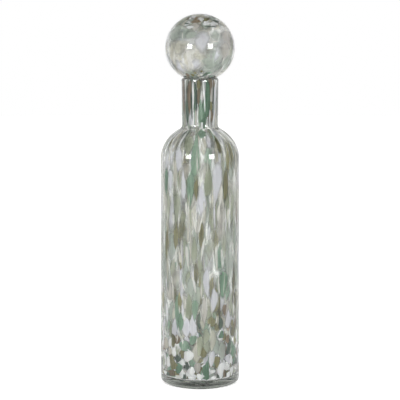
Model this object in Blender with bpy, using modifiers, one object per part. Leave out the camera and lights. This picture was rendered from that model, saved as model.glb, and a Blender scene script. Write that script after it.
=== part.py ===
"""A tall hand-blown glass bottle with a hollow ball stopper, in metres, +Z up.

The bottle stands on its foot ring at z = 0 and the stopper rests on the bottle's lip. Everything is
turned about the Z axis, and the stopper lifts straight up along it. The bottle's one wall is four solids,
one above the other: foot, body, shoulder and neck.
"""

import math

import bpy

# Body of the bottle, narrower at the shoulder by its taper, and the flat ring that it stands on
body_radius = 0.0550
body_taper = 0.0010
body_height = 0.3130
body_wall = 0.0032
base_thickness = 0.0110
heel_radius = 0.0070
inner_heel_radius = 0.0100
foot_ring_width = 0.0140
punt_depth = 0.0030
foot_height = 0.0175

# Shoulder: a quarter ellipse that stands on the body's top edge, with a fillet into the neck
shoulder_rise = 0.0473
shoulder_fillet = 0.0040

# Neck, measured from the shoulder, and its fire-polished lip
neck_length = 0.0675
neck_radius_rim = 0.0253
neck_flare = 0.0007
neck_wall = 0.0038
lip_outer_round = 0.0030
lip_inner_round = 0.0008

# Stopper: a ball that is a little flatter below its widest ring, on an open tubular stem
ball_radius = 0.0475
ball_rise = 0.0470
ball_drop = 0.0448
ball_wall = 0.0026
stem_wall = 0.0024
stem_length = 0.0450

# Clearances: stem in the neck's bore, ball over lip, one solid over the next; what counts as on the axis
stem_clearance_top = 0.0023
stem_clearance_end = 0.0030
seat_clearance = 0.0003
join_clearance = 0.0003
axis_tolerance = 0.00001

# Segments round the axis, and along each kind of curve
steps_round = 48
heel_segments = 5
punt_segments = 4
shoulder_segments = 9
fillet_segments = 4
neck_segments = 4
lip_segments = 4
ball_segments = 11

# Colours as the glass averages out with the coloured chips in it
foot_colour = (0.23, 0.25, 0.23, 1.0)
body_colour = (0.36, 0.38, 0.32, 1.0)
shoulder_colour = (0.40, 0.41, 0.37, 1.0)
neck_colour = (0.24, 0.26, 0.22, 1.0)
ball_colour = (0.45, 0.46, 0.43, 1.0)
stem_colour = (0.26, 0.29, 0.24, 1.0)
glass_roughness = 0.03
glass_ior = 1.52
glass_transmission_share = 0.6

shoulder_radius = body_radius - body_taper
neck_radius_foot = neck_radius_rim - neck_flare
stem_radius_top = neck_radius_rim - neck_wall - stem_clearance_top
stem_radius_end = neck_radius_foot - neck_wall - stem_clearance_end


def clear_scene():
    for old in list(bpy.data.objects):
        bpy.data.objects.remove(old, do_unlink=True)


def glass(name, colour):
    """A glass material; the colour is what the clear wall and its chips give together."""
    material = bpy.data.materials.new(name)
    material.use_nodes = True
    shader = material.node_tree.nodes["Principled BSDF"]
    shader.inputs["Base Color"].default_value = colour
    shader.inputs["Roughness"].default_value = glass_roughness
    shader.inputs["Metallic"].default_value = 0.0
    shader.inputs["IOR"].default_value = glass_ior
    shader.inputs["Transmission Weight"].default_value = glass_transmission_share
    return material


def arc(centre, radius_x, radius_z, start, end, segments):
    """Points (radius, height) along an elliptical arc, from start to end in degrees, both included."""
    points = []
    for i in range(segments + 1):
        angle = math.radians(start + (end - start) * i / segments)
        points.append((centre[0] + radius_x * math.cos(angle), centre[1] + radius_z * math.sin(angle)))
    return points


def bend(start, corner, end, segments):
    """Points along a curve that rounds off a corner, from start to end, both included."""
    points = []
    for i in range(segments + 1):
        t = i / segments
        points.append(tuple(
            (1 - t) ** 2 * start[k] + 2 * t * (1 - t) * corner[k] + t * t * end[k] for k in (0, 1)
        ))
    return points


def ellipse_height(radius, radius_x, radius_z):
    """Height of a quarter ellipse over its centre, at this distance from the axis."""
    return radius_z * math.sqrt(1 - (radius / radius_x) ** 2)


def rim_height():
    """The lip's crest: the neck stands where the shoulder reaches the neck's radius."""
    return body_height + ellipse_height(neck_radius_foot, shoulder_radius, shoulder_rise) + neck_length


def neck_start():
    """Height where the shoulder's fillet has become the neck, the seam between the two solids."""
    corner_height = body_height + ellipse_height(neck_radius_foot, shoulder_radius, shoulder_rise)
    return corner_height + shoulder_fillet


def neck_side(inset, lip_round):
    """One side of the neck, up to the lip's rounding. It widens slowly, then faster to the lip."""
    bottom = neck_start() + join_clearance
    top = rim_height() - lip_round
    points = []
    for i in range(neck_segments + 1):
        height = bottom + (top - bottom) * i / neck_segments
        share = (height - neck_start()) / (top - neck_start())
        points.append((neck_radius_foot + neck_flare * share ** 2 - inset, height))
    return points


def shoulder_side(inset, neck_inset):
    """One side of the shoulder, from the top of the body over the dome and the fillet to the neck."""
    across = shoulder_radius - inset
    rise = shoulder_rise - inset
    neck_radius = neck_radius_foot - neck_inset
    corner_height = body_height + ellipse_height(neck_radius, across, rise)
    bend_angle = math.degrees(math.acos((neck_radius + shoulder_fillet) / across))
    dome = arc((0, body_height), across, rise, 0, bend_angle, shoulder_segments)
    fillet_end = (neck_radius, corner_height + shoulder_fillet)
    return dome + bend(dome[-1], (neck_radius, corner_height), fillet_end, fillet_segments)[1:]


def wall_radius(height, inset, bottom):
    """Radius of one side of the straight wall, which narrows evenly from its bottom to the shoulder."""
    share = (height - bottom) / (body_height - bottom)
    return body_radius - body_taper * share - inset


def heel_angle(height):
    """Where on the inner heel's curve this height lies, in degrees: -90 at the floor, 0 at the wall."""
    return math.degrees(math.asin((height - base_thickness) / inner_heel_radius - 1))


def inner_heel(start, end):
    """The rounded corner between floor and wall inside, from one angle to another."""
    centre = (body_radius - body_wall - inner_heel_radius, base_thickness + inner_heel_radius)
    return arc(centre, inner_heel_radius, inner_heel_radius, start, end, heel_segments)


def lip_points():
    """The lip from the bore over the crest to the outside."""
    inner = (neck_radius_rim - neck_wall + lip_inner_round, rim_height() - lip_inner_round)
    outer = (neck_radius_rim - lip_outer_round, rim_height() - lip_outer_round)
    return (
        arc(inner, lip_inner_round, lip_inner_round, 180, 90, lip_segments)
        + arc(outer, lip_outer_round, lip_outer_round, 90, 0, lip_segments)
    )


def foot_profile():
    """From the floor inside, up the corner, out to the outside, round the heel and under to the punt."""
    ring_radius = body_radius - heel_radius
    heel = arc((ring_radius, heel_radius), heel_radius, heel_radius, 0, -90, heel_segments)
    punt_radius = ring_radius - foot_ring_width
    punt = []
    for i in range(punt_segments + 1):
        share = 1 - i / punt_segments
        punt.append((punt_radius * share, punt_depth * (1 - share ** 2)))
    rim = [(wall_radius(foot_height, 0, heel_radius), foot_height)]
    return [(0, base_thickness)] + inner_heel(-90, heel_angle(foot_height)) + rim + heel + punt


def body_profile():
    """The straight wall, up its inner side and down its outer one."""
    bottom = foot_height + join_clearance
    top = body_height - join_clearance
    heel_top = base_thickness + inner_heel_radius
    inside = inner_heel(heel_angle(bottom), 0) + [(wall_radius(top, body_wall, heel_top), top)]
    outside = [(wall_radius(height, 0, heel_radius), height) for height in (top, bottom)]
    return inside + outside


def shoulder_profile():
    """The dome, up its inner side to the neck and down its outer one."""
    inside = shoulder_side(body_wall, neck_wall) + [(neck_radius_foot - neck_wall, neck_start())]
    return inside + shoulder_side(0, 0)[::-1]


def neck_profile():
    """Up the bore, over the lip and down the outside."""
    return neck_side(neck_wall, lip_inner_round)[:-1] + lip_points() + neck_side(0, lip_outer_round)[-2::-1]


def join_height():
    """Height of the plane where ball and stem meet, over the ball's centre."""
    return -ellipse_height(stem_radius_top, ball_radius, ball_drop)


def ball_profile():
    """A shell, up its inner side and down its outer one. The stem's bore goes on through its foot."""
    across, rise, drop = (size - ball_wall for size in (ball_radius, ball_rise, ball_drop))
    bore = stem_radius_top - stem_wall
    inner_start = -math.degrees(math.acos(bore / across))
    outer_end = -math.degrees(math.acos(stem_radius_top / ball_radius))
    inner = [(bore, join_height())]
    inner += arc((0, 0), across, drop, inner_start, 0, ball_segments)
    inner += arc((0, 0), across, rise, 0, 90, ball_segments)[1:-1] + [(0, rise)]
    outer = [(0, ball_rise)] + arc((0, 0), ball_radius, ball_rise, 90, 0, ball_segments)[1:]
    outer += arc((0, 0), ball_radius, ball_drop, 0, outer_end, ball_segments)[1:]
    return inner + outer


def stem_profile():
    """A tapered tube with a rounded end, hanging down from its top at height 0."""
    end_round = stem_wall / 2
    end_centre = (stem_radius_end - end_round, end_round - stem_length)
    end = arc(end_centre, end_round, end_round, 0, -180, 2 * lip_segments)
    return end + [(stem_radius_top - stem_wall, 0), (stem_radius_top, 0)]


def seated_ball_height():
    """Height of the ball's centre when the ball rests on the lip."""
    over_lip = [z + ellipse_height(radius, ball_radius, ball_drop) for radius, z in lip_points()]
    return max(over_lip) + seat_clearance


def turned(name, profile, height, parent, material, collection):
    """An object that is the closed profile turned round Z. Two neighbours on the axis aren't joined."""
    edges = []
    for i, point in enumerate(profile):
        j = (i + 1) % len(profile)
        if max(point[0], profile[j][0]) > axis_tolerance:
            edges.append((i, j))
    mesh = bpy.data.meshes.new(name)
    mesh.from_pydata([(radius, 0, z) for radius, z in profile], edges, [])
    mesh.materials.append(material)
    made = bpy.data.objects.new(name, mesh)
    collection.objects.link(made)
    made.parent = parent
    made.location = (0, 0, height)
    screw = made.modifiers.new("turn", "SCREW")
    screw.axis = "Z"
    screw.angle = math.tau
    screw.steps = steps_round
    screw.render_steps = steps_round
    screw.use_merge_vertices = True
    screw.merge_threshold = axis_tolerance
    screw.use_smooth_shade = True
    return made


def empty(name, height, parent, collection):
    made = bpy.data.objects.new(name, None)
    collection.objects.link(made)
    made.parent = parent
    made.location = (0, 0, height)
    return made


def make_bottle():
    collection = bpy.data.collections.new("ball_stopper_bottle")
    bpy.context.scene.collection.children.link(collection)
    stand = empty("bottle_stand", 0, None, collection)
    lift = empty("stopper_lift", seated_ball_height(), stand, collection)
    stem_top = join_height() - join_clearance
    pieces = (
        ("bottle_foot", foot_profile(), 0, stand, glass("foot_glass", foot_colour)),
        ("bottle_body", body_profile(), 0, stand, glass("body_glass", body_colour)),
        ("bottle_shoulder", shoulder_profile(), 0, stand, glass("shoulder_glass", shoulder_colour)),
        ("bottle_neck", neck_profile(), 0, stand, glass("neck_glass", neck_colour)),
        ("stopper_ball", ball_profile(), 0, lift, glass("ball_glass", ball_colour)),
        ("stopper_stem", stem_profile(), stem_top, lift, glass("stem_glass", stem_colour)),
    )
    for name, profile, height, parent, material in pieces:
        turned(name, profile, height, parent, material, collection)


clear_scene()
make_bottle()
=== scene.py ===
# Looks of the ball stopper bottle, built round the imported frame. Metres, +Z up, the foot at z = 0.
import bisect
import math
import random

import bmesh
import bpy
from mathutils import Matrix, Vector, noise


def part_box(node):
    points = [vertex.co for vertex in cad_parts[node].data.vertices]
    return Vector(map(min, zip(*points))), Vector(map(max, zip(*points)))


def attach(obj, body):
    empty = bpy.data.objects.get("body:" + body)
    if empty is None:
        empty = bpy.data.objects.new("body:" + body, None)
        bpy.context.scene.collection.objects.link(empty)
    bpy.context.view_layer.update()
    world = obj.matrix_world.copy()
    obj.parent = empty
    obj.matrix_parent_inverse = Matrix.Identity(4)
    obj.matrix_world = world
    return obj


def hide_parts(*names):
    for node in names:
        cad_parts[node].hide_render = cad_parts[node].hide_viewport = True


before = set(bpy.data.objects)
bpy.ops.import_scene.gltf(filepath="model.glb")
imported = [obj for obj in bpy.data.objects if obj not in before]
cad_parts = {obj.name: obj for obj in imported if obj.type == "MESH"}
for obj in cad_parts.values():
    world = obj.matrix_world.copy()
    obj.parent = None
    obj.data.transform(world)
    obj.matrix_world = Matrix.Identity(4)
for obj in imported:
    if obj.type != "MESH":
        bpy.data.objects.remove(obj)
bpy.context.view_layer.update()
mm = 0.001
weldDistance = 0.002 * mm
tiny = 1e-9  # keeps a division or a root clear of zero


# Small helpers

def hexToLinear(hexColour):
    # sRGB hex, as a colour picker gives it, to the linear values that the nodes take
    channels = [int(hexColour[i:i + 2], 16) / 255 for i in (1, 3, 5)]
    return [c / 12.92 if c <= 0.04045 else ((c + 0.055) / 1.055) ** 2.4 for c in channels] + [1.0]


def addNode(tree, kind, settings=None, links=None):
    # a node with its properties, socket values and incoming links in one go; a link comes from a socket
    # or, for its first output, from a node
    node = tree.nodes.new("ShaderNode" + kind)
    for name, value in (settings or {}).items():
        if isinstance(name, int) or name in node.inputs:
            node.inputs[name].default_value = value
        else:
            setattr(node, name, value)
    for name, source in (links or {}).items():
        socket = source.outputs[0] if isinstance(source, bpy.types.Node) else source
        tree.links.new(socket, node.inputs[name])
    return node


def newMaterial(name):
    material = bpy.data.materials.new(name)
    material.use_nodes = True
    material.node_tree.nodes.clear()
    return material, material.node_tree


def deselectAll():
    if bpy.context.mode != "OBJECT":
        bpy.ops.object.mode_set(mode="OBJECT")
    bpy.ops.object.select_all(action="DESELECT")


def arc(centre, across, up, start, end, segments):
    # (radius, height) points along an elliptical arc, angles in degrees
    points = []
    for i in range(segments + 1):
        angle = math.radians(start + (end - start) * i / segments)
        points.append((centre[0] + across * math.cos(angle), centre[1] + up * math.sin(angle)))
    return points


def bend(start, corner, end, segments):
    # (radius, height) points that round off a corner
    points = []
    for i in range(segments + 1):
        t = i / segments
        points.append(tuple(
            (1 - t) ** 2 * start[k] + 2 * t * (1 - t) * corner[k] + t * t * end[k] for k in (0, 1)
        ))
    return points


def straight(start, end, segments):
    # (radius, height) points along a straight stretch
    return [tuple(start[k] + (end[k] - start[k]) * i / segments for k in (0, 1)) for i in range(segments + 1)]


def ellipseHeight(radius, across, up):
    return up * math.sqrt(1 - (radius / across) ** 2)


# Shape of the glass, as blown

bottleShape = {
    "footRadius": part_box("bottle_foot")[1].x,
    "rimHeight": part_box("bottle_neck")[1].z,
    "shoulderRadius": 54.0 * mm,
    "bodyHeight": 313.0 * mm,
    "bodyWall": 3.2 * mm,
    "baseThickness": 11.0 * mm,
    "heelRadius": 7.0 * mm,
    "innerHeelRadius": 10.0 * mm,
    "footRingWidth": 14.0 * mm,
    "puntDepth": 3.0 * mm,
    "shoulderRise": 47.3 * mm,
    "shoulderFillet": 4.0 * mm,
    "neckRadius": 24.6 * mm,
    "neckFlare": 0.7 * mm,
    "neckWall": 3.8 * mm,
    "lipOuterRound": 3.0 * mm,
    "lipInnerRound": 0.8 * mm,
    # segments round the axis, and along each stretch of the outline
    "around": 128,
    "bodySegments": 24,
    "domeSegments": 22,
    "filletSegments": 8,
    "neckSegments": 10,
    "roundSegments": 8,
    "innerLipSegments": 5,
    "puntSegments": 9,
    "floorShares": (0.8, 0.6, 0.4, 0.2, 0.05),  # radii of the rings in the floor inside
}

stopperShape = {
    "ballTop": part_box("stopper_ball")[1].z,
    "ballRadius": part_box("stopper_ball")[1].x,
    "ballRise": 47.0 * mm,
    "ballDrop": 44.8 * mm,
    "ballWall": 2.6 * mm,
    "stemRadiusTop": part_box("stopper_stem")[1].x,
    "stemRadiusEnd": 17.8 * mm,
    "stemWall": 2.4 * mm,
    "stemEnd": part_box("stopper_stem")[0].z,
    "stemFillet": 1.6 * mm,
    "stemTop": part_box("stopper_stem")[1].z,
    # segments round the axis, and along each stretch of the outline
    "around": 128,
    "upperSegments": 26,
    "lowerSegments": 20,
    "collarSegments": 5,
    "stemSegments": 8,
    "endSegments": 10,
    "poleAngle": 88,  # degrees; the outline stops short of the ball's pole, and turnRing closes it
}


def neckSide(footHeight, inset, lipRound):
    s = bottleShape
    points = []
    for i in range(s["neckSegments"] + 1):
        share = i / s["neckSegments"]
        radius = s["neckRadius"] + s["neckFlare"] * share ** 2 - inset
        points.append((radius, footHeight + (s["rimHeight"] - lipRound - footHeight) * share))
    return points


def wallSide(inset, neckInset, lipRound):
    # one side of the wall from the top of the straight body to the lip
    s = bottleShape
    across, rise = s["shoulderRadius"] - inset, s["shoulderRise"] - inset
    neckRadius = s["neckRadius"] - neckInset
    corner = s["bodyHeight"] + ellipseHeight(neckRadius, across, rise)
    bendAngle = math.degrees(math.acos((neckRadius + s["shoulderFillet"]) / across))
    dome = arc((0, s["bodyHeight"]), across, rise, 0, bendAngle, s["domeSegments"])
    neck = neckSide(corner + s["shoulderFillet"], neckInset, lipRound)
    foot = bend(dome[-1], (neckRadius, corner), neck[0], s["filletSegments"])
    return dome + foot[1:-1] + neck


def outerSide():
    # the bottle's outside from the heel to the lip
    s = bottleShape
    wall = wallSide(0, 0, s["lipOuterRound"])
    return straight((s["footRadius"], s["heelRadius"]), wall[0], s["bodySegments"])[:-1] + wall


def outerLip():
    s = bottleShape
    centre = (s["neckRadius"] + s["neckFlare"] - s["lipOuterRound"], s["rimHeight"] - s["lipOuterRound"])
    return arc(centre, s["lipOuterRound"], s["lipOuterRound"], 0, 90, s["roundSegments"])


def bottlePath():
    # from under the punt out over the foot ring, up the outside, over the lip and down inside to the floor
    s = bottleShape
    ring = s["footRadius"] - s["heelRadius"]
    punt = ring - s["footRingWidth"]
    rings = s["puntSegments"]
    under = [(punt * i / rings, s["puntDepth"] * (1 - (i / rings) ** 2)) for i in range(1, rings + 1)]
    heel = arc((ring, s["heelRadius"]), s["heelRadius"], s["heelRadius"], -90, 0, s["roundSegments"])
    rim = s["neckRadius"] + s["neckFlare"]
    innerLip = arc((rim - s["neckWall"] + s["lipInnerRound"], s["rimHeight"] - s["lipInnerRound"]),
                   s["lipInnerRound"], s["lipInnerRound"], 90, 180, s["innerLipSegments"])
    innerWall = wallSide(s["bodyWall"], s["neckWall"], s["lipInnerRound"])
    floorRadius = s["footRadius"] - s["bodyWall"] - s["innerHeelRadius"]
    innerHeel = arc((floorRadius, s["baseThickness"] + s["innerHeelRadius"]),
                    s["innerHeelRadius"], s["innerHeelRadius"], 0, -90, s["roundSegments"])
    inside = straight(innerHeel[0], innerWall[0], s["bodySegments"])[:-1] + innerWall
    floor = [(floorRadius * share, s["baseThickness"]) for share in s["floorShares"]]
    outside = under + heel + outerSide()[1:-1] + outerLip()
    return outside + innerLip + inside[-2::-1] + innerHeel[1:] + floor


def stopperPath():
    # from the ball's top down its outside and the stem's, round the stem's end and back up inside
    s = stopperShape
    centre = s["ballTop"] - s["ballRise"]
    radius, wall = s["ballRadius"], s["ballWall"]
    join = centre - ellipseHeight(s["stemRadiusTop"], radius, s["ballDrop"])
    outerEnd = -math.degrees(math.acos((s["stemRadiusTop"] + s["stemFillet"]) / radius))
    upper = arc((0, centre), radius, s["ballRise"], s["poleAngle"], 0, s["upperSegments"])
    lower = arc((0, centre), radius, s["ballDrop"], 0, outerEnd, s["lowerSegments"])[1:]
    stemTop = (s["stemRadiusTop"], join - s["stemFillet"])
    collar = bend(lower[-1], (s["stemRadiusTop"], join), stemTop, s["collarSegments"])[1:]
    endRound = s["stemWall"] / 2
    end = arc((s["stemRadiusEnd"] - endRound, s["stemEnd"] + endRound), endRound, endRound, 0, -180,
              s["endSegments"])
    outside = straight(collar[-1], end[0], s["stemSegments"])[1:-1]
    bore = s["stemRadiusTop"] - s["stemWall"]
    across = radius - wall
    innerStart = -math.degrees(math.acos(bore / across))
    innerLower = arc((0, centre), across, s["ballDrop"] - wall, innerStart, 0, s["lowerSegments"])
    inside = straight(end[-1], (bore, join), s["stemSegments"])[1:]
    innerUpper = arc((0, centre), across, s["ballRise"] - wall, 0, s["poleAngle"], s["upperSegments"])[1:]
    return upper + lower + collar + outside + end + inside + innerLower + innerUpper


def turnRing(name, path, around):
    # a filled ring is extruded along the path, ring by ring, and closed at its last ring's middle
    deselectAll()
    radius, height = path[0]
    bpy.ops.mesh.primitive_circle_add(
        vertices=around, radius=radius, fill_type="TRIFAN", location=(0, 0, height))
    piece = bpy.context.object
    piece.name = name
    bpy.ops.object.transform_apply(location=True, rotation=True, scale=True)
    bpy.ops.object.mode_set(mode="EDIT")
    bpy.ops.mesh.select_mode(type="EDGE")
    bpy.ops.mesh.select_all(action="DESELECT")
    bm = bmesh.from_edit_mesh(piece.data)
    for edge in bm.edges:
        edge.select_set(len(edge.link_faces) == 1)
    bmesh.update_edit_mesh(piece.data)
    for newRadius, newHeight in path[1:]:
        bpy.ops.mesh.extrude_region_move(TRANSFORM_OT_translate={"value": (0, 0, newHeight - height)})
        bpy.ops.transform.resize(value=(newRadius / radius, newRadius / radius, 1))
        radius, height = newRadius, newHeight
    bpy.ops.mesh.extrude_region_move(TRANSFORM_OT_translate={"value": (0, 0, 0)})
    bpy.ops.mesh.merge(type="CENTER")
    bpy.ops.mesh.select_all(action="SELECT")
    bpy.ops.mesh.remove_doubles(threshold=weldDistance)
    bpy.ops.mesh.normals_make_consistent(inside=False)
    bpy.ops.object.mode_set(mode="OBJECT")
    bpy.ops.object.shade_smooth()
    return piece


wallWaves = {
    # blown glass varies in thickness: inside and over the shoulder it runs in long soft waves
    "across": 14 * mm,
    "along": 90 * mm,
    "depth": 0.4 * mm,
    "bottom": 25 * mm,
    "top": 345 * mm,
    "innermost": 5 * mm,
    "outermost": bottleShape["shoulderRadius"] - bottleShape["bodyWall"] / 2,
}


def waveWall(piece):
    look = wallWaves
    for vertex in piece.data.vertices:
        x, y, z = vertex.co
        out = Vector((x, y, 0))
        if look["bottom"] < z < look["top"] and look["innermost"] < out.length < look["outermost"]:
            wave = noise.noise(Vector((x / look["across"], y / look["across"], z / look["along"])))
            vertex.co += out.normalized() * wave * look["depth"]


def drawnOutNoise(tree, width, stretch, detail):
    # noise drawn out upwards, as the blowing draws out all that is in the glass
    coordinates = addNode(tree, "TexCoord")
    mapping = addNode(tree, "Mapping", {"Scale": (1, 1, stretch)}, {"Vector": coordinates.outputs["Object"]})
    return addNode(tree, "TexNoise", {"Scale": 1 / width, "Detail": detail}, {"Vector": mapping})


# Glass

glassLook = {
    "ior": 1.52,  # soda-lime glass
    "roughness": 0.0,
    "tint": "#fcfdfb",
    "absorbColour": "#bcc0ba",
    "absorbDensity": 22.0,
    "rippleWidth": 9 * mm,  # from one faint ripple to the next, round the wall
    "rippleStretch": 0.12,
    "rippleDetail": 1.5,
    "rippleDepth": 0.1 * mm,
    "rippleStrength": 0.06,
}


def sodaLimeGlass():
    # mouth-blown soda-lime glass: clear and glossy, grey-green only where it is thick, as in the foot
    look = glassLook
    material, tree = newMaterial("sodaLimeGlass")
    ripple = drawnOutNoise(tree, look["rippleWidth"], look["rippleStretch"], look["rippleDetail"])
    bump = addNode(tree, "Bump", {"Strength": look["rippleStrength"], "Distance": look["rippleDepth"]},
                   {"Height": ripple})
    shader = addNode(tree, "BsdfPrincipled", {
        "Base Color": hexToLinear(look["tint"]), "Roughness": look["roughness"], "IOR": look["ior"],
        "Transmission Weight": 1.0,
    }, {"Normal": bump})
    absorb = addNode(tree, "VolumeAbsorption", {
        "Color": hexToLinear(look["absorbColour"]), "Density": look["absorbDensity"],
    })
    addNode(tree, "OutputMaterial", None, {"Surface": shader, "Volume": absorb})
    return material


glass = sodaLimeGlass()
bottleGlass = turnRing("bottleGlass", bottlePath(), bottleShape["around"])
waveWall(bottleGlass)
bottleGlass.data.materials.append(glass)
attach(bottleGlass, "bottle")
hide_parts("bottle_foot", "bottle_body", "bottle_shoulder", "bottle_neck")

stopperGlass = turnRing("stopperGlass", stopperPath(), stopperShape["around"])
stopperGlass.data.materials.append(glass)
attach(stopperGlass, "stopper")
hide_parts("stopper_ball", "stopper_stem")
print("glass blown:", len(bottleGlass.data.polygons), "and", len(stopperGlass.data.polygons), "faces")


# Coloured chips in the wall

fritColours = {
    # the frit as it looks in the wall, and in its thick deep streaks, then the share of light that goes
    # through it unscattered, and of its milky light the share that goes on inwards
    "opal": ("#f2f4f3", "#d4d7da", 0.04, 0.08),
    "lilac": ("#d8d9e3", "#babbc8", 0.1, 0.2),
    "pale": ("#d3d0bf", "#a9a694", 0.18, 0.3),
    "mist": ("#a6b0a4", "#829084", 0.16, 0.3),
    "sage": ("#979d86", "#727b62", 0.16, 0.3),
    "green": ("#7f9c84", "#4a6853", 0.12, 0.25),
    "olive": ("#7b7852", "#41402a", 0.1, 0.22),
    "brown": ("#7c6b56", "#463c30", 0.12, 0.22),
    "stone": ("#c6c1b9", "#9c978e", 0.16, 0.25),
    "dark": ("#435448", "#222c28", 0.06, 0.2),
    # painted light: this near-white frit (#f9f8ec) stands in for light that shows through clear gaps in the
    # wall
    "cream": ("#f9f8ec", "#eeebdc", 0.24, 0.2),
    "pine": ("#5f8066", "#34503e", 0.1, 0.22),
    "milk": ("#dad8d1", "#c6c4be", 0.14, 0.18),
}

handLaid = ("cream", "pine", "milk")
mixedFrits = [name for name in fritColours if name not in handLaid]

fritLook = {
    "letOut": 0.36,  # glass lets this share of a chip's light out at once
    "thrownBack": 0.6,  # and throws this share back onto it, which deepens its colour
    "streakWidth": 2.2 * mm,
    "streakStretch": 0.07,  # streaks are about 14 times as long as wide
    "streakDetail": 2.0,
    "streakContrast": 1.8,
    "streakShift": -0.75,  # below 0, most of a chip keeps its lighter colour
    "toneShare": 0.8,  # how much deeper the deepest chips are than the lightest
    "roughness": 0.5,
    "edgeFade": 2.6,  # the higher, the narrower the thin clear edge of a chip
    "outlinedFrom": 2.2,  # chips with an edge sharper than this keep a dark outline
}


def ownColour(hexColour):
    # the frit's colour in air, for the one that it shows under glass
    out, back = fritLook["letOut"], fritLook["thrownBack"]
    return [min(c / (out + back * c), 1.0) for c in hexToLinear(hexColour)[:3]] + [1.0]


def frit(name, hexColour, deepHex, clearShare, onShare):
    # frit is crushed coloured glass melted into the wall: milky, some light goes through, thin at its edges
    look = fritLook
    material, tree = newMaterial(name)
    tone = addNode(tree, "Attribute", {"attribute_name": "tone"})
    rim = addNode(tree, "Attribute", {"attribute_name": "rim"})
    streak = drawnOutNoise(tree, look["streakWidth"], look["streakStretch"], look["streakDetail"])
    depth = addNode(tree, "Math", {
        "operation": "MULTIPLY_ADD", 1: look["streakContrast"], 2: look["streakShift"],
    }, {0: streak})
    deep = addNode(tree, "Math", {"operation": "MULTIPLY_ADD", 1: look["toneShare"], "use_clamp": True},
                   {0: tone.outputs["Fac"], 2: depth})
    colour = addNode(tree, "Mix", {"data_type": "RGBA", 6: ownColour(hexColour), 7: ownColour(deepHex)},
                     {0: deep})
    body = addNode(tree, "BsdfPrincipled", {"Roughness": look["roughness"], "Specular IOR Level": 0.0},
                   {"Base Color": colour.outputs[2]})
    passing = addNode(tree, "BsdfTranslucent", None, {"Color": colour.outputs[2]})
    milk = addNode(tree, "MixShader", {0: onShare}, {1: body, 2: passing})
    thick = addNode(tree, "Math", {"operation": "SUBTRACT", 0: 1.0}, {1: rim.outputs["Fac"]})
    cover = addNode(tree, "Math", {"operation": "MULTIPLY", 1: look["edgeFade"], "use_clamp": True},
                    {0: thick})
    solid = addNode(tree, "Math", {"operation": "MULTIPLY", 1: 1 - clearShare}, {0: cover})
    clear = addNode(tree, "BsdfTransparent")
    edge = addNode(tree, "MixShader", None, {0: solid, 1: clear, 2: milk})
    # light meets a chip once: what has come in by one face leaves by the other untouched
    geometry = addNode(tree, "NewGeometry")
    out = addNode(tree, "BsdfTransparent")
    once = addNode(tree, "MixShader", None, {0: geometry.outputs["Backfacing"], 1: edge, 2: out})
    addNode(tree, "OutputMaterial", None, {"Surface": once})
    return material


fritMaterials = {name: frit(name + "Frit", *look) for name, look in fritColours.items()}


chipLook = {
    "cuts": ((1, 7), (0, 1)),  # axis and number of cuts, along the template and across it
    "swell": 0.13,  # share by which an outline swells and shrinks on its way round,
    "lobes": 3,  # this many times
    "sway": 0.08,  # how far a chip bends sideways, in columns
    "thinning": 0.8,  # share of its thickness that it has lost at its rim
    "narrowest": 0.05,  # its half width at its ends, as a share
    "oval": 2,  # how full its ends are: an ellipse,
    "pointed": 1.3,  # or a leaf
    "leastReach": 0.08,  # of a chip towards a neighbour, in columns
    "mostReach": 2.2,
    "farthest": 4.0,  # seeds further off than this don't touch it
    "endMargin": 0.1,  # no chip is laid nearer to the ends of its wall, in chip lengths
    "leastRoom": 0.05,  # towards an end of the wall or a sharp corner
    "halvings": 24,  # steps of the search for a height on the wall
    "flakeSides": (4, 6),
    "flakeReach": (0.7, 1.1),
    "flakeShake": 0.25,
    "looseLean": 0.2,
    # a main chip's half width and half length for those in its row: over a half, because its edge fades
    "mainWidth": 0.58,
    "mainLength": 0.54,
    "mainDeepest": 0.65,  # main chips keep nearer to their lighter colour
}


def chipTemplate():
    # one flat sliver, 2 x 2 x 2 units, cut into stations along its length and halved across
    deselectAll()
    bpy.ops.mesh.primitive_cube_add(size=2, location=(0, 0, 0))
    chip = bpy.context.object
    chip.name = "chipTemplate"
    bpy.ops.object.mode_set(mode="EDIT")
    bpy.ops.mesh.select_mode(type="EDGE")
    for axis, cuts in chipLook["cuts"]:
        bpy.ops.mesh.select_all(action="DESELECT")
        bm = bmesh.from_edit_mesh(chip.data)
        for edge in bm.edges:
            run = edge.verts[1].co - edge.verts[0].co
            edge.select_set(abs(run[axis]) > run.length / 2)
        bmesh.update_edit_mesh(chip.data)
        bpy.ops.mesh.subdivide(number_cuts=cuts)
    bpy.ops.object.mode_set(mode="OBJECT")
    bpy.ops.object.shade_smooth()
    return chip


def between(table, key):
    # the values for this key in a short table, blended between its rows
    rows = sorted(table)
    if key <= rows[0][0]:
        return rows[0][1:]
    for low, high in zip(rows, rows[1:]):
        if key <= high[0]:
            t = (key - low[0]) / (high[0] - low[0])
            return tuple(p + (q - p) * t for p, q in zip(low[1:], high[1:]))
    return rows[-1][1:]


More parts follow.
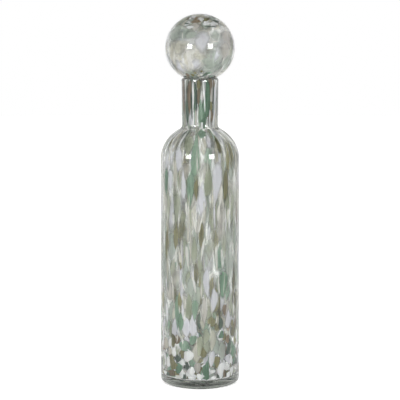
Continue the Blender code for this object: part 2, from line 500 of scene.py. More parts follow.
class WallMap:
    # chips are laid by column round the wall (u) and by chip lengths up it (v), as the blowing drew them out
    def __init__(self, line, look):
        self.columns = look["columns"]
        self.squeeze = look["squeeze"]
        self.line = [Vector(p) for p in line]
        self.marks = [0.0]
        for a, b in zip(self.line, self.line[1:]):
            chipLength = between(look["stretch"], (a.y + b.y) / 2)[0]
            self.marks.append(self.marks[-1] + (b - a).length / chipLength)
        self.inward = []
        for i in range(len(self.line)):
            run = self.line[min(i + 1, len(self.line) - 1)] - self.line[max(i - 1, 0)]
            self.inward.append(Vector((-run.y, run.x)).normalized())
        self.top = self.marks[-1]
        self.splits = [0] + [self.atHeight(height) for height in look["splits"]] + [self.top]

    def onLine(self, v):
        v = min(max(v, 0), self.top)
        i = min(bisect.bisect_right(self.marks, v), len(self.marks) - 1) - 1
        share = (v - self.marks[i]) / (self.marks[i + 1] - self.marks[i])
        return self.line[i].lerp(self.line[i + 1], share), self.inward[i].lerp(self.inward[i + 1], share)

    def atHeight(self, height):
        low, high = 0, self.top
        for _ in range(chipLook["halvings"]):
            middle = (low + high) / 2
            low, high = (middle, high) if self.onLine(middle)[0].y < height else (low, middle)
        return low

    def heightAt(self, seed):
        return self.onLine(seed[1])[0].y

    def holds(self, seed):
        return chipLook["endMargin"] < seed[1] < self.top - chipLook["endMargin"]

    def limits(self, seed):
        # a chip stays on its side of a sharp hollow corner
        i = bisect.bisect_right(self.splits, seed[1])
        return self.splits[max(i - 1, 0)], self.splits[min(i, len(self.splits) - 1)]

    def ends(self, seed):
        # as if a neighbour lay as far beyond each end of the wall
        low, high = self.limits(seed)
        least = chipLook["leastRoom"]
        return [(0, 2 * max(high - seed[1], least)), (0, -2 * max(seed[1] - low, least))]

    def place(self, u, v, depth):
        point, inward = self.onLine(v)
        least, share = between(self.squeeze, point.y)
        spot = point + inward * (least + share * depth)
        turn = math.tau * u / self.columns
        return Vector((spot.x * math.cos(turn), spot.x * math.sin(turn), spot.y))


class DiscMap:
    # chips on a round that is seen from above, such as the ball's crown: u and v count chips across it
    columns = 1e6  # so many that no chip has a neighbour round the back

    def __init__(self, look, surface):
        self.middle = (look["columns"] / 2, look["rowStep"] * (look["rows"] / 2 - 0.5))
        self.size = look["size"]
        self.edge = look["radius"] / look["size"]
        self.outermost = look["outermost"]
        self.surface = surface

    def heightAt(self, seed):
        return 0

    def holds(self, seed):
        return math.hypot(seed[0] - self.middle[0], seed[1] - self.middle[1]) < self.edge

    def limits(self, seed):
        return -math.inf, math.inf

    def ends(self, seed):
        return []

    def place(self, u, v, depth):
        x, y = (u - self.middle[0]) * self.size, (v - self.middle[1]) * self.size
        inside = min(1, self.outermost / max(math.hypot(x, y), tiny))
        return self.surface(x * inside, y * inside, depth)


def staggeredSeeds(draw, look):
    # a staggered grid, shaken; some seeds drop out and their neighbours grow into the room
    seeds = []
    for row in range(look["rows"]):
        for column in range(look["columns"]):
            u = (column + 0.5 * (row % 2) + draw.uniform(-look["shake"], look["shake"])) % look["columns"]
            v = look["rowStep"] * (row - 0.5) + draw.uniform(-look["shakeUp"], look["shakeUp"])
            if draw.random() > look["dropped"]:
                seeds.append((u, v))
    return seeds


def offsetsRound(seed, seeds, columns):
    offsets = []
    for u, v in seeds:
        du = (u - seed[0] + columns / 2) % columns - columns / 2
        dv = v - seed[1]
        if tiny < du * du + dv * dv < chipLook["farthest"] ** 2:
            offsets.append((du, dv))
    return offsets


def cellOutline(offsets, gap, crispness):
    # how far a chip reaches each way: halfway to each neighbour less a gap, with corners the rounder the
    # lower crispness is
    sides = []
    for du, dv in offsets:
        distance = math.hypot(du, dv)
        sides.append((du / distance, dv / distance, max(distance / 2 - gap, chipLook["leastReach"])))

    def reach(angle):
        x, y = math.cos(angle), math.sin(angle)
        total = sum(max(0.0, (x * nx + y * ny) / room) ** crispness for nx, ny, room in sides)
        return min(max(total, tiny) ** (-1 / crispness), chipLook["mostReach"])
    return reach


def flakeOutline(draw, crispness):
    # a chip that lies over others is a flake with a few sides
    look = chipLook
    sides, first = draw.randint(*look["flakeSides"]), draw.uniform(0, 1)
    offsets = []
    for i in range(sides):
        angle = math.tau * (i + first + draw.uniform(-look["flakeShake"], look["flakeShake"])) / sides
        reach = 2 * draw.uniform(*look["flakeReach"])
        offsets.append((reach * math.cos(angle), reach * math.sin(angle)))
    return cellOutline(offsets, 0, crispness)


def layChip(template, wall, look, seed, size, outline, draw, depth, edge, lean=0, aspect=1,
            fullness=chipLook["oval"], deepest=1):
    chip = template.copy()
    chip.data = template.data.copy()
    bpy.context.scene.collection.objects.link(chip)
    lobes = chipLook["lobes"]
    sway, phase = draw.uniform(-chipLook["sway"], chipLook["sway"]), draw.uniform(0, math.tau)
    low, high = wall.limits(seed)
    rim = []
    for vertex in chip.data.vertices:
        a, b, c = vertex.co
        along = math.sin(b * math.pi / 2)
        across = a * max((1 - abs(along) ** fullness) ** (1 / fullness), chipLook["narrowest"])
        fromMiddle = min(math.hypot(across, along), 1)
        angle = math.atan2(along * aspect, across)
        reach = outline(angle) * fromMiddle * (1 + chipLook["swell"] * math.sin(lobes * angle + phase))
        x = reach * math.cos(angle) + sway * math.sin(lobes * along + phase)
        y = reach * math.sin(angle)
        thin = 1 - chipLook["thinning"] * fromMiddle ** 2
        vertex.co = wall.place(seed[0] + x * size[0] + y * lean, min(max(seed[1] + y * size[1], low), high),
                               depth - c * look["thickness"] * thin / 2)
        rim.append(1 - (1 - fromMiddle) * edge)
    if edge < fritLook["outlinedFrom"]:
        chip.data.shade_flat()  # rounded normals would draw a dark outline round it
    count = len(chip.data.vertices)
    tone = chip.data.attributes.new("tone", "FLOAT", "POINT")
    tone.data.foreach_set("value", [draw.uniform(0, deepest)] * count)
    rimTone = chip.data.attributes.new("rim", "FLOAT", "POINT")
    rimTone.data.foreach_set("value", rim)
    return chip


def pickFrit(draw, shares, key):
    # frit shares change up the wall, in rows of (height, share of each of mixedFrits)
    return draw.choices(mixedFrits, between(shares, key))[0]


def layTiles(template, wall, look, laid, draw):
    # chips side by side, each as large as its neighbours let it be
    seeds = staggeredSeeds(draw, look)
    for seed in seeds:
        if not wall.holds(seed):
            continue
        height = wall.heightAt(seed)
        edge, crispness = between(look["edges"], height)
        offsets = offsetsRound(seed, seeds, wall.columns) + wall.ends(seed)
        outline = cellOutline(offsets, draw.uniform(*between(look["gaps"], height)), crispness)
        depth = draw.uniform(*look["depth"])
        chip = layChip(template, wall, look, seed, (1, 1), outline, draw, depth, edge, aspect=look["rowStep"])
        laid[pickFrit(draw, look["shares"], height)].append(chip)


def layLoose(template, wall, look, laid, draw):
    # chips that lie over the others, anywhere
    count = 0
    while count < look["loose"]:
        seed = (draw.uniform(0, look["columns"]), draw.uniform(0, look["rows"]))
        if not wall.holds(seed):
            continue
        count += 1
        height = wall.heightAt(seed)
        edge, crispness = between(look["edges"], height)
        narrow, wide, short, long = between(look["looseSizes"], height)
        size = draw.uniform(narrow, wide), draw.uniform(short, long)
        depth = draw.uniform(*look["looseDepth"])
        lean = draw.uniform(-chipLook["looseLean"], chipLook["looseLean"]) * size[1]
        outline = flakeOutline(draw, crispness)
        chip = layChip(template, wall, look, seed, size, outline, draw, depth, edge, lean)
        laid[pickFrit(draw, look["looseShares"], height)].append(chip)


def laySlivers(template, wall, look, laid, draw):
    # painted light: thin bright slivers that stand in for the light showing where the wall is almost clear
    # between two chips
    count = 0
    while count < look["slivers"]:
        seed = (draw.uniform(0, look["columns"]), draw.uniform(0, wall.top))
        height = wall.heightAt(seed)
        if not look["sliverFrom"] < height < look["sliverTo"]:
            continue
        count += 1
        size = draw.uniform(*look["sliverWidth"]), draw.uniform(*look["sliverLength"])
        lean = draw.uniform(-look["sliverLean"], look["sliverLean"]) * size[1]
        outline = flakeOutline(draw, look["sliverCrispness"])
        chip = layChip(template, wall, look, seed, size, outline, draw, look["sliverDepth"],
                       look["sliverEdge"], lean, fullness=chipLook["pointed"])
        laid["cream"].append(chip)


def layMain(template, line, look, laid, draw, rows, sharper, depth):
    # the main chips of the pattern, listed one by one and laid in front of the others, on a map of degrees
    # and mm
    wall = WallMap(line, {**look, "columns": 360, "stretch": [(0, mm)]})
    for name, turn, height, width, length, *lean in rows:
        seed = (turn - 90, wall.atHeight(height * mm))
        degree = wall.onLine(seed[1])[0].x * math.radians(1)
        edge, crispness = between(look["edges"], height * mm)
        size = chipLook["mainWidth"] * width * mm / degree, chipLook["mainLength"] * length
        ownDepth = draw.uniform(*depth)
        outline = flakeOutline(draw, crispness)
        fullness = chipLook["pointed" if name == "cream" else "oval"]
        chip = layChip(template, wall, look, seed, size, outline, draw, ownDepth, edge * sharper,
                       sum(lean) * mm / degree, fullness=fullness, deepest=chipLook["mainDeepest"])
        laid[name].append(chip)


def joinByFrit(prefix, laid, body):
    # all the chips of one frit are one piece
    for name, chips in laid.items():
        if not chips:
            continue
        deselectAll()
        for chip in chips:
            chip.select_set(True)
        bpy.context.view_layer.objects.active = chips[0]
        bpy.ops.object.join()
        piece = bpy.context.object
        piece.name = prefix + name.capitalize() + "Frit"
        piece.data.materials.append(fritMaterials[name])
        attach(piece, body)
    print(prefix, "chips:", sum(len(chips) for chips in laid.values()))


bodyChips = {
    "seed": 11,
    "columns": 42,
    "rows": 21,
    "rowStep": 1.7,  # a row's height, in columns at the chips' own stretch
    "bottom": 14.0 * mm,
    "shake": 0.4,
    "shakeUp": 0.75,
    "dropped": 0.2,
    # height, and gap between chips in columns; below 0 a chip runs over its neighbours
    "gaps": [(10 * mm, -0.1, 0.26), (60 * mm, -0.18, 0.14), (100 * mm, -0.24, 0.06)],
    "depth": (1.6 * mm, 2.5 * mm),
    "thickness": 0.5 * mm,
    # height, sharpness of a chip's edge, and how straight its sides are
    "edges": [
        (10 * mm, 3.4, 14), (38 * mm, 3.0, 12), (62 * mm, 1.8, 11), (90 * mm, 1.0, 10), (150 * mm, 0.75, 9),
        (340 * mm, 0.75, 8), (365 * mm, 1.8, 8),
    ],
    "loose": 430,
    "looseDepth": (0.9 * mm, 1.5 * mm),
    # height, and half width and half length of loose chips, in columns and lengths
    "looseSizes": [
        (10 * mm, 0.2, 0.75, 0.35, 1.2), (80 * mm, 0.25, 0.75, 0.6, 1.4), (150 * mm, 0.2, 0.7, 0.6, 1.4),
        (340 * mm, 0.2, 0.65, 0.6, 1.4), (423 * mm, 0.2, 0.5, 0.6, 1.4),
    ],
    "softDepth": (0.7 * mm, 0.9 * mm),
    "softEdge": 0.5,
    "mainDepth": (0.4 * mm, 0.7 * mm),
    "mainEdge": 1.8,
    # height, least depth and share left of a chip's own depth, for the hollow curve of the neck's foot
    "squeeze": [(336 * mm, 0, 1), (350 * mm, 1.3 * mm, 0.4), (366 * mm, 1.3 * mm, 0.4), (382 * mm, 0, 1)],
    "splits": [bottleShape["bodyHeight"] + ellipseHeight(
        bottleShape["neckRadius"], bottleShape["shoulderRadius"], bottleShape["shoulderRise"])],
    "slivers": 120,
    "sliverFrom": 40 * mm,
    "sliverTo": 345 * mm,
    "sliverWidth": (0.07, 0.17),
    "sliverLength": (0.25, 0.75),
    "sliverDepth": 0.32 * mm,
    "sliverEdge": 1.2,
    "sliverLean": 0.4,
    "sliverCrispness": 8,
    # height and chip length up the wall
    "stretch": [
        (10 * mm, 7.5 * mm), (50 * mm, 9 * mm), (80 * mm, 12 * mm), (120 * mm, 20 * mm), (170 * mm, 31 * mm),
        (423 * mm, 34 * mm),
    ],
    # height and shares of opal, lilac, pale, mist, sage, green, olive, brown, stone, dark frit
    "shares": [
        (10 * mm, 0.11, 0.06, 0.07, 0.05, 0.08, 0.15, 0.15, 0.06, 0.05, 0.22),
        (70 * mm, 0.05, 0.05, 0.10, 0.10, 0.18, 0.18, 0.17, 0.05, 0.04, 0.08),
        (120 * mm, 0.0, 0.12, 0.26, 0.17, 0.26, 0.05, 0.07, 0.01, 0.06, 0.0),
        (352 * mm, 0.02, 0.20, 0.32, 0.16, 0.18, 0.03, 0.02, 0.0, 0.08, 0.0),
        (372 * mm, 0.12, 0.14, 0.08, 0.04, 0.10, 0.14, 0.08, 0.14, 0.04, 0.14),
    ],
    "looseShares": [
        (10 * mm, 0.47, 0.08, 0.02, 0.02, 0.05, 0.09, 0.10, 0.04, 0.01, 0.12),
        (70 * mm, 0.22, 0.14, 0.05, 0.04, 0.10, 0.14, 0.17, 0.07, 0.02, 0.07),
        (120 * mm, 0.04, 0.18, 0.22, 0.12, 0.16, 0.08, 0.13, 0.02, 0.05, 0.0),
        (352 * mm, 0.02, 0.24, 0.30, 0.12, 0.14, 0.06, 0.06, 0.0, 0.06, 0.0),
        (372 * mm, 0.24, 0.08, 0.02, 0.02, 0.05, 0.15, 0.10, 0.17, 0.0, 0.17),
    ],
    # frit, degrees round from the front, height, width and length in mm, and for some how far they lean
    "softChips": [
        ("sage", 7, 62, 24, 34), ("pale", -5, 52, 14, 26), ("mist", 16, 76, 16, 30),
        ("sage", -14, 112, 24, 60), ("sage", 12, 104, 18, 40), ("mist", 24, 58, 14, 28),
        ("stone", -36, 150, 26, 44), ("sage", 14, 196, 26, 60), ("stone", 30, 236, 30, 50),
        ("mist", 0, 200, 16, 34), ("sage", -26, 237, 14, 44), ("stone", 31, 216, 16, 44),
        ("stone", -22, 300, 24, 40), ("stone", 8, 300, 20, 40), ("mist", -28, 90, 18, 34),
        ("sage", 66, 262, 10, 64), ("mist", 72, 200, 10, 74), ("sage", 64, 150, 10, 60),
        ("mist", 68, 100, 10, 50), ("sage", 58, 224, 8, 60),
    ],
    # entries with the near-white #f9f8ec frit are painted light: bright streaks that stand in for light
    # through clear gaps between chips
    "mainChips": [
        ("green", -7, 320, 13, 68, 1), ("lilac", -33, 316, 11, 46), ("lilac", -24, 278, 8, 54, -1),
        ("green", -14, 276, 10, 54), ("olive", -5, 276, 8, 34), ("lilac", 24, 288, 15, 62, 2),
        ("lilac", 3, 264, 10, 46, -1), ("sage", 12, 284, 12, 46), ("olive", 40, 280, 10, 50),
        ("pine", -58, 285, 11, 50), ("lilac", -47, 289, 8, 33), ("olive", -37, 208, 10, 38),
        ("olive", 2, 216, 8, 42), ("olive", -56, 200, 9, 33), ("pine", 36, 145, 13, 47, 1),
        ("lilac", 20, 124, 9, 37, 1), ("lilac", 9, 150, 10, 41, -2), ("green", -34, 107, 9, 52),
        ("sage", -17, 112, 10, 44), ("lilac", -20, 90, 11, 32), ("lilac", -11, 89, 10, 30),
        ("green", -23, 61, 17, 17), ("green", -10, 70, 13, 13, 2), ("opal", -17, 47, 12, 20, 1),
        ("opal", -12, 26, 9, 10), ("opal", 0, 19, 9, 8), ("olive", 17, 94, 13, 15),
        ("brown", 38, 110, 8, 17), ("pine", 33, 75, 8, 13), ("brown", 44, 68, 8, 13),
        ("lilac", 45, 94, 10, 29), ("pine", 55, 49, 10, 20), ("lilac", 17, 44, 9, 21, 1),
        ("olive", 25, 40, 8, 16), ("pine", 9, 28, 9, 24), ("stone", -3, 32, 9, 14),
        ("opal", 32, 26, 9, 21, 1), ("olive", -43, 33, 13, 18, -2), ("pine", -32, 30, 14, 14),
        ("olive", 5, 52, 8, 15), ("brown", -48, 19, 18, 8), ("opal", -52, 33, 9, 16),
        ("sage", 9, 75, 10, 22, 1), ("pale", 18, 70, 9, 28), ("sage", 0, 60, 11, 24),
        ("brown", -34, 68, 9, 14, 1), ("olive", -42, 68, 9, 20), ("dark", 31, 92, 7, 20),
        ("opal", -41, 50, 9, 15), ("dark", -34, 42, 9, 12, 2), ("mist", 33, 52, 9, 24),
        ("mist", -4, 128, 12, 44), ("mist", -14, 140, 12, 40), ("stone", 6, 112, 8, 34),
        ("sage", -8, 192, 10, 44), ("olive", -31, 122, 8, 30), ("green", -8, 112, 9, 34),
        ("pine", -28, 92, 8, 26), ("brown", -35, 401, 7, 48), ("opal", -23, 399, 3.2, 48),
        ("dark", -15, 400, 4, 44), ("olive", -4, 415, 4, 20), ("brown", -5, 398, 4, 26),
        ("opal", 4, 385, 3, 46), ("opal", 11, 408, 3, 30, -1), ("pine", 25, 392, 8, 60),
        ("pine", 12, 374, 8, 34), ("stone", 39, 399, 4, 20), ("olive", 38, 385, 5, 16),
        ("brown", 42, 371, 5, 16), ("brown", 49, 415, 4, 13), ("lilac", -30, 368, 8, 24),
        ("dark", -46, 384, 4, 46), ("dark", 68, 395, 5, 54), ("brown", -64, 398, 4, 40),
        ("lilac", 55, 392, 4, 50), ("pine", 11, 364, 9, 22), ("green", 2, 374, 8, 36),
        ("green", 4, 349, 10, 18), ("mist", 16, 348, 7, 14), ("stone", -16, 348, 7, 12),
        ("sage", -18, 335, 8, 34), ("olive", 31, 334, 6, 34), ("olive", -58, 340, 4, 30),
        ("opal", 40, 338, 3, 30), ("lilac", 15, 341, 6, 34), ("pale", 6, 334, 9, 32),
        ("olive", 51, 322, 4, 40), ("opal", -64, 330, 3, 40), ("opal", -34, 342, 4, 22),
        ("dark", 60, 318, 2.4, 44), ("olive", -55, 216, 3, 50), ("olive", -29, 175, 4, 26),
        ("olive", -42, 20, 22, 7), ("dark", -52, 17, 14, 5), ("cream", -33, 17, 13, 4.5),
        ("opal", -60, 18, 12, 5), ("opal", -13, 17, 9, 3.5), ("opal", 20, 16.5, 8, 5),
        ("opal", 45, 18, 8, 9), ("dark", 31, 16, 8, 3.5), ("pine", 9, 20, 9, 12),
        ("cream", -8, 230, 3.4, 34, -3.5), ("cream", 1, 230, 3.2, 34, 4), ("cream", 2, 288, 2.6, 24, 2.4),
        ("cream", 5, 334, 4, 18, -2), ("cream", 31, 265, 4, 34, 2), ("cream", 27, 243, 6, 24, 1),
        ("cream", 45, 240, 5, 20), ("cream", -37, 183, 6, 24, 2), ("cream", -30, 182, 5, 24, -2),
        ("cream", -19, 186, 4, 34, -2.5), ("cream", 4, 196, 3.4, 36, 3), ("cream", 24, 184, 4, 34, -1),
        ("cream", 33, 184, 3.4, 30), ("cream", 55, 190, 4, 22), ("cream", -25, 143, 3.4, 12, -2),
        ("cream", -9, 148, 4, 26, -3), ("cream", -20, 250, 4, 26, -1), ("cream", -42, 234, 4, 20),
        ("pine", 23, 407, 6, 38), ("dark", -27, 384, 2, 40), ("brown", 33, 408, 4, 28),
        ("opal", 14, 394, 2, 34, -1), ("dark", 47, 392, 2, 44), ("dark", -10, 392, 1.6, 40),
    ],
}

baseChips = {
    # frit under the floor, which the thick foot shows as thin bent streaks
    "seed": 3,
    "columns": 10,
    "rows": 12,
    "rowStep": 0.87,
    "size": 9 * mm,
    "radius": 44 * mm,
    "outermost": 51 * mm,
    "shake": 0.34,
    "shakeUp": 0.34,
    "dropped": 0.1,
    "gaps": [(0, 0.0, 0.08)],
    "depth": (2.0 * mm, 4.0 * mm),
    "thickness": 0.5 * mm,
    "edges": [(0, 2.0, 4)],
    "loose": 20,
    "looseSizes": [(0, 0.3, 0.6, 0.3, 0.6)],
    "looseDepth": (1.2 * mm, 1.8 * mm),
    "shares": [(0, 0.22, 0.0, 0.06, 0.02, 0.06, 0.14, 0.12, 0.06, 0.06, 0.26)],
    "looseShares": [(0, 0.5, 0.0, 0.05, 0.0, 0.05, 0.1, 0.1, 0.05, 0.0, 0.15)],
}

stemChips = {
    # narrow stripes, which show through the neck
    "seed": 4,
    "columns": 24,
    "rows": 5,
    "rowStep": 0.8,
    "shake": 0.35,
    "shakeUp": 0.4,
    "dropped": 0.12,
    "gaps": [(0, -0.12, 0.16)],
    "depth": (1.1 * mm, 1.5 * mm),
    "thickness": 0.4 * mm,
    "edges": [(0, 1.8, 7)],
    "loose": 16,
    "looseSizes": [(0, 0.2, 0.45, 0.3, 0.7)],
    "looseDepth": (0.6 * mm, 0.9 * mm),
    "squeeze": [(0, 0, 1)],
    "splits": [],
    "stretch": [(0, 20 * mm)],
    "shares": [(0, 0.16, 0.10, 0.08, 0.03, 0.12, 0.18, 0.10, 0.11, 0.04, 0.08)],
    "looseShares": [(0, 0.24, 0.06, 0.04, 0.02, 0.06, 0.20, 0.12, 0.14, 0.04, 0.08)],
}

stopperChips = {
    "seed": 5,
    "columns": 11,
    "rows": 8,
    "rowStep": 1.0,
    "topAngle": 36,  # degrees over the ball's widest ring, where the chips of its crown begin
    "mainTopAngle": 80,  # the main chips go on over the crown
    "shake": 0.36,
    "shakeUp": 0.4,
    "dropped": 0.05,
    "gaps": [(0, -0.34, -0.14)],
    "depth": (1.3 * mm, 1.8 * mm),
    "thickness": 0.4 * mm,
    "edges": [
        (400 * mm, 1.6, 7), (424 * mm, 1.3, 6), (434 * mm, 0.55, 5), (488 * mm, 0.55, 5), (492 * mm, 2.0, 6),
    ],
    "loose": 18,
    "looseSizes": [
        (400 * mm, 0.12, 0.3, 0.3, 0.7), (424 * mm, 0.1, 0.2, 0.1, 0.2), (440 * mm, 0.4, 0.8, 0.4, 0.9),
    ],
    "looseDepth": (0.7 * mm, 1.1 * mm),
    "mainDepth": (0.4 * mm, 0.6 * mm),
    "mainEdge": 1.6,
    "squeeze": [(0, 0, 1)],
    "splits": [stopperShape["stemTop"]],
    "stretch": [(370 * mm, 26 * mm), (423 * mm, 22 * mm), (440 * mm, 26 * mm), (500 * mm, 26 * mm)],
    "shares": [
        (400 * mm, 0.16, 0.10, 0.08, 0.02, 0.10, 0.18, 0.10, 0.12, 0.04, 0.10),
        (424 * mm, 0.14, 0.10, 0.24, 0.08, 0.12, 0.06, 0.10, 0.08, 0.08, 0.0),
        (436 * mm, 0.0, 0.26, 0.38, 0.18, 0.04, 0.0, 0.0, 0.0, 0.14, 0.0),
    ],
    "looseShares": [
        (400 * mm, 0.24, 0.06, 0.04, 0.02, 0.06, 0.20, 0.12, 0.14, 0.04, 0.08),
        (424 * mm, 0.20, 0.0, 0.08, 0.04, 0.06, 0.08, 0.24, 0.22, 0.04, 0.04),
        (436 * mm, 0.0, 0.32, 0.40, 0.16, 0.0, 0.0, 0.0, 0.0, 0.12, 0.0),
    ],
    # entries with the near-white #f9f8ec frit are painted light: bright streaks that stand in for light
    # through the clear wall
    "mainChips": [
        ("mist", -52, 484, 44, 32), ("pale", -38, 464, 22, 28), ("mist", -18, 481, 22, 16),
        ("lilac", 4, 474, 24, 34), ("mist", 28, 480, 16, 18), ("mist", 24, 447, 34, 34),
        ("milk", -18, 447, 48, 36), ("pale", -54, 452, 16, 38), ("stone", 58, 478, 36, 34),
        ("stone", 46, 460, 18, 28), ("mist", 58, 444, 20, 30), ("cream", -32, 479, 2.4, 13, -2),
        ("cream", -50, 452, 4, 20, 2), ("cream", -62, 462, 4, 16), ("cream", 26, 472, 13, 3),
        ("cream", 45, 447, 3, 14, 1), ("dark", -66, 444, 1.6, 22, 1), ("olive", -56, 437, 2, 18, 1),
        ("dark", 60, 440, 1.6, 18, -1), ("opal", 52, 438, 3, 18, -1), ("brown", -11, 499, 12, 9),
        ("olive", 20, 502, 8, 6), ("opal", 14, 496, 11, 8), ("opal", 36, 496, 13, 8),
        ("dark", -32, 496, 8, 3), ("opal", 3, 502, 8, 9), ("dark", 24, 492, 18, 2.4),
        ("opal", -22, 491, 12, 6), ("dark", 48, 499, 12, 5), ("brown", -35, 427, 7, 8),
        ("olive", -12, 430, 5, 5), ("dark", 14, 428, 7, 9), ("olive", -20, 427, 5, 7),
        ("brown", -44, 424, 5, 6), ("dark", -26, 424, 5, 4), ("green", 22, 430, 8, 6),
        ("pale", -4, 426, 5, 6), ("olive", 4, 432, 4, 5), ("green", 34, 425, 6, 6),
        # the thin dark and olive streaks at 60 to 74 degrees round, here and in the next line, are partly the
        # ball's own streaks and partly painted shade that darkens its edges
        ("dark", 68, 452, 3, 34, 1), ("dark", 74, 440, 3.4, 26), ("olive", 70, 470, 3, 26),
        ("dark", -70, 446, 3, 32), ("olive", -74, 462, 3, 36), ("dark", -60, 438, 2.4, 20),
        ("sage", 64, 462, 4, 30), ("opal", 66, 446, 2.4, 24), ("opal", -66, 440, 2.4, 22),
    ],
}

crownChips = {
    "seed": 8,
    "columns": 9,
    "rows": 11,
    "rowStep": 0.87,
    "size": 11 * mm,
    "radius": 38 * mm,  # its outermost chips lie over the stopper's uppermost ones
    "outermost": 41.8 * mm,  # further out the ball is steep
    "shake": 0.34,
    "shakeUp": 0.34,
    "dropped": 0.04,
    "gaps": [(0, -0.34, -0.14)],
    "depth": (1.1 * mm, 1.6 * mm),
    "thickness": 0.4 * mm,
    "edges": [(0, 1.6, 6)],
    "loose": 40,
    "looseSizes": [(0, 0.2, 0.5, 0.2, 0.5)],
    "looseDepth": (0.6 * mm, 1.0 * mm),
    "shares": [(0, 0.10, 0.24, 0.28, 0.18, 0.06, 0.01, 0.02, 0.01, 0.10, 0.0)],
    "looseShares": [(0, 0.40, 0.08, 0.10, 0.04, 0.04, 0.04, 0.14, 0.10, 0.02, 0.04)],
}


def crownSurface(x, y, depth):
    s = stopperShape
    shrink = 1 - depth / s["ballRadius"]
    rise = ellipseHeight(math.hypot(x, y), s["ballRadius"], s["ballRise"])
    return Vector((x * shrink, y * shrink, s["ballTop"] - s["ballRise"] + rise * shrink))


def baseSurface(x, y, depth):
    return Vector((x, y, bottleShape["baseThickness"] - depth))


def layOver(template, wall, look, laid):
    # tiles and loose chips over a whole wall or disc
    draw = random.Random(look["seed"])
    layTiles(template, wall, look, laid, draw)
    layLoose(template, wall, look, laid, draw)
    return draw


def layBodyChips(template):
    look = bodyChips
    above = [p for p in outerSide() if p[1] > look["bottom"]]
    line = [(bottleShape["footRadius"], look["bottom"])] + above + outerLip()[1:-2]
    wall = WallMap(line, look)
    laid = {name: [] for name in fritColours}
    draw = layOver(template, wall, look, laid)
    laySlivers(template, wall, look, laid, draw)
    layMain(template, line, look, laid, draw, look["softChips"], look["softEdge"], look["softDepth"])
    layMain(template, line, look, laid, draw, look["mainChips"], look["mainEdge"], look["mainDepth"])
    layOver(template, DiscMap(baseChips, baseSurface), baseChips, laid)
    joinByFrit("body", laid, "bottle")


def stopperSide(topAngle):
    # outside of the stopper from the stem's end up to this angle on the ball
    s = stopperShape
    path = stopperPath()
    centre = s["ballTop"] - s["ballRise"]
    top = centre + s["ballRise"] * math.sin(math.radians(topAngle))
    outside = path[:path.index(min(path, key=lambda p: p[1]))]
    return [p for p in reversed(outside) if s["stemEnd"] + s["stemWall"] / 2 <= p[1] <= top]


def layStopperChips(template):
    look = stopperChips
    side = stopperSide(look["topAngle"])
    stem = [p for p in side if p[1] <= stopperShape["stemTop"]]
    ball = [p for p in side if p[1] >= stopperShape["stemTop"]]
    laid = {name: [] for name in fritColours}
    layOver(template, WallMap(stem, stemChips), stemChips, laid)
    layOver(template, WallMap(ball, look), look, laid)
    line, draw = stopperSide(look["mainTopAngle"]), random.Random(look["seed"])
    layMain(template, line, look, laid, draw, look["mainChips"], look["mainEdge"], look["mainDepth"])
    layOver(template, DiscMap(crownChips, crownSurface), crownChips, laid)
    joinByFrit("stopper", laid, "stopper")


template = chipTemplate()
layBodyChips(template)
layStopperChips(template)
bpy.data.objects.remove(template)


# Stage, lamps and camera

stageLook = {
    "floorSize": 12.0,
    "floorSegments": 96,
    "floorColour": "#f4f4f4",
    "lightColour": "#ffffff",
    "liftToCamera": 0.4,  # what brings the paper up to white, to the camera
    "liftInGlass": 0.08,  # and seen in the glass or through it
    "greyFrom": 0.35,  # overhead it is greyer, as under the dark ceiling of a studio, from this share of
    "greyTo": 0.8,  # the way up to this one
    "greyOverhead": 0.7,
    "softboxAngle": 33.8,  # degrees to each side of the camera
    "softboxDistance": 1.5,
    "softboxHeight": 0.64,
    "softboxSize": 0.44,
    "softboxPower": 12.0,
}

cameraLook = {
    "distance": 1.820,
    "height": 0.483,
    "pitch": 7.155,  # degrees below the horizon
    "lens": 119.6,
    "sensorWidth": 36,
    "bounces": 24,  # light crosses several walls and many chips
}


def makeFloor():
    deselectAll()
    bpy.ops.mesh.primitive_circle_add(
        vertices=stageLook["floorSegments"], radius=stageLook["floorSize"] / 2, fill_type="NGON")
    floor = bpy.context.object
    floor.name = "floor"
    material, tree = newMaterial("paperFloor")
    path = addNode(tree, "LightPath")
    paper = addNode(tree, "BsdfDiffuse", {"Color": hexToLinear(stageLook["floorColour"])})
    # the lift lights nothing: only these rays see it
    mirrored = addNode(tree, "Math", {"operation": "MAXIMUM"},
                       {0: path.outputs["Is Glossy Ray"], 1: path.outputs["Is Transmission Ray"]})
    inGlass = addNode(tree, "Math", {"operation": "MULTIPLY", 1: stageLook["liftInGlass"]}, {0: mirrored})
    lift = addNode(tree, "Math", {"operation": "MULTIPLY_ADD", 1: stageLook["liftToCamera"]},
                   {0: path.outputs["Is Camera Ray"], 2: inGlass})
    white = addNode(tree, "Emission", {"Color": hexToLinear(stageLook["lightColour"])}, {"Strength": lift})
    both = addNode(tree, "AddShader", None, {0: paper, 1: white})
    addNode(tree, "OutputMaterial", None, {"Surface": both})
    floor.data.materials.append(material)


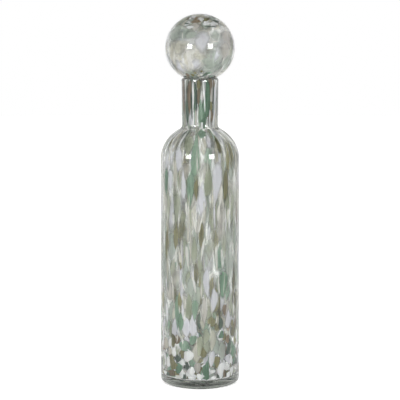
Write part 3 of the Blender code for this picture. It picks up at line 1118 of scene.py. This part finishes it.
def makeWorld():
    world = bpy.data.worlds.new("studio")
    bpy.context.scene.world = world
    world.use_nodes = True
    tree = world.node_tree
    tree.nodes.clear()
    path = addNode(tree, "LightPath")
    coordinates = addNode(tree, "TexCoord")
    split = addNode(tree, "SeparateXYZ", None, {0: coordinates.outputs["Generated"]})
    # white to the camera and through the glass; what the glass mirrors is white at the horizon alone
    ramp = addNode(tree, "MapRange", {
        "interpolation_type": "SMOOTHSTEP", 1: stageLook["greyFrom"], 2: stageLook["greyTo"],
        3: 0.0, 4: stageLook["greyOverhead"],
    }, {0: split.outputs["Z"]})
    dark = addNode(tree, "Math", {"operation": "MULTIPLY"}, {0: ramp, 1: path.outputs["Is Glossy Ray"]})
    level = addNode(tree, "Math", {"operation": "SUBTRACT", 0: 1.0}, {1: dark})
    dim = addNode(tree, "Background", {"Color": hexToLinear(stageLook["lightColour"])}, {"Strength": level})
    white = addNode(tree, "Background", {"Color": hexToLinear(stageLook["lightColour"])})
    mix = addNode(tree, "MixShader", None, {0: path.outputs["Is Camera Ray"], 1: dim, 2: white})
    addNode(tree, "OutputWorld", None, {"Surface": mix})


def makeSoftboxes():
    look = stageLook
    for side in (-1, 1):
        angle = math.radians(look["softboxAngle"]) * side
        light = bpy.data.lights.new("softbox", "AREA")
        light.shape = "SQUARE"
        light.size = look["softboxSize"]
        light.energy = look["softboxPower"]
        lamp = bpy.data.objects.new("softbox", light)
        bpy.context.scene.collection.objects.link(lamp)
        distance = look["softboxDistance"]
        lamp.location = (distance * math.sin(angle), -distance * math.cos(angle), look["softboxHeight"])
        aim = Vector((0, 0, stopperShape["ballTop"] - stopperShape["ballRise"])) - lamp.location
        lamp.rotation_euler = aim.to_track_quat("-Z", "Y").to_euler()
        lamp.visible_camera = False
        lamp.visible_transmission = False


def makeCamera():
    look = cameraLook
    data = bpy.data.cameras.new("camera")
    data.lens = look["lens"]
    data.sensor_width = look["sensorWidth"]
    camera = bpy.data.objects.new("camera", data)
    bpy.context.scene.collection.objects.link(camera)
    camera.location = (0, -look["distance"], look["height"])
    camera.rotation_euler = (math.radians(90 - look["pitch"]), 0, 0)
    bpy.context.scene.camera = camera


makeFloor()
makeWorld()
makeSoftboxes()
makeCamera()
scene = bpy.context.scene
scene.view_settings.view_transform = "Standard"
scene.cycles.max_bounces = cameraLook["bounces"]
scene.cycles.transmission_bounces = cameraLook["bounces"]
scene.cycles.transparent_max_bounces = cameraLook["bounces"]
print("stage set")
